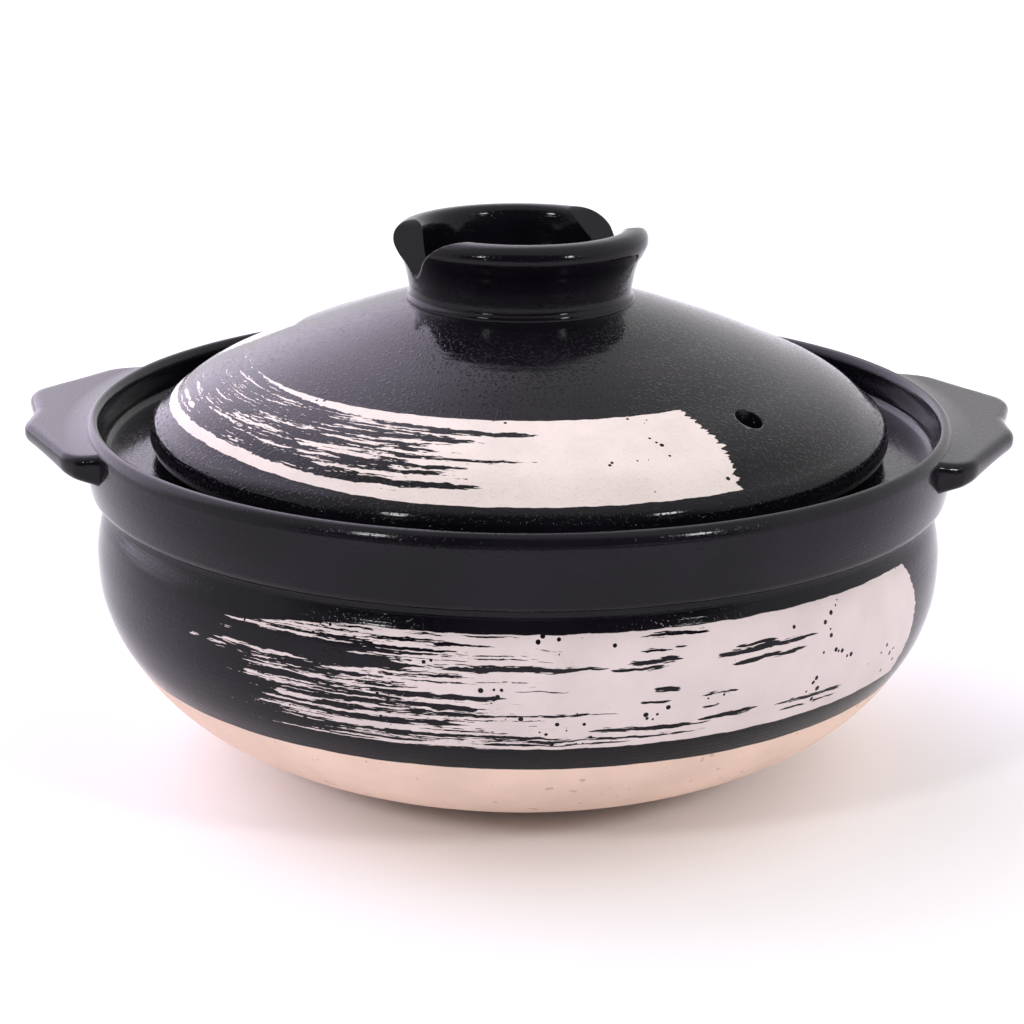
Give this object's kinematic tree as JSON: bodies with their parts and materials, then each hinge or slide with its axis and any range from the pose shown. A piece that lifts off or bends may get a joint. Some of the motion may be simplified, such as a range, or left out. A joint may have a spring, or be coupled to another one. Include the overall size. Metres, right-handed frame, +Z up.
{
  "type": "lidded earthenware hot pot",
  "caption": "Squat round clay pot with a thick rim collar, two flat lug handles and a loose domed lid with a notched ring knob and a steam hole, for cooking and serving",
  "frame": {"origin": "centre of the foot ring, on the table", "axes": "x right along the two lug handles, y to the back, z up along the axis of the pot"},
  "size_m": [0.3104, 0.2674, 0.1653],
  "materials": {
    "black_glaze": "near-black gloss glaze over earthenware, with brushed pale slip"
  },
  "bodies": {
    "pot": {"pot_bowl": "black_glaze", "handle_left": "black_glaze", "handle_right": "black_glaze"},
    "lid": {"lid_dome": "black_glaze", "lid_knob": "black_glaze"}
  },
  "joints": [
    {"name": "lid_lift", "type": "slide", "parent": "pot", "child": "lid", "axis": [0, 0, 1], "range_m": [0, 0.08]}
  ]
}
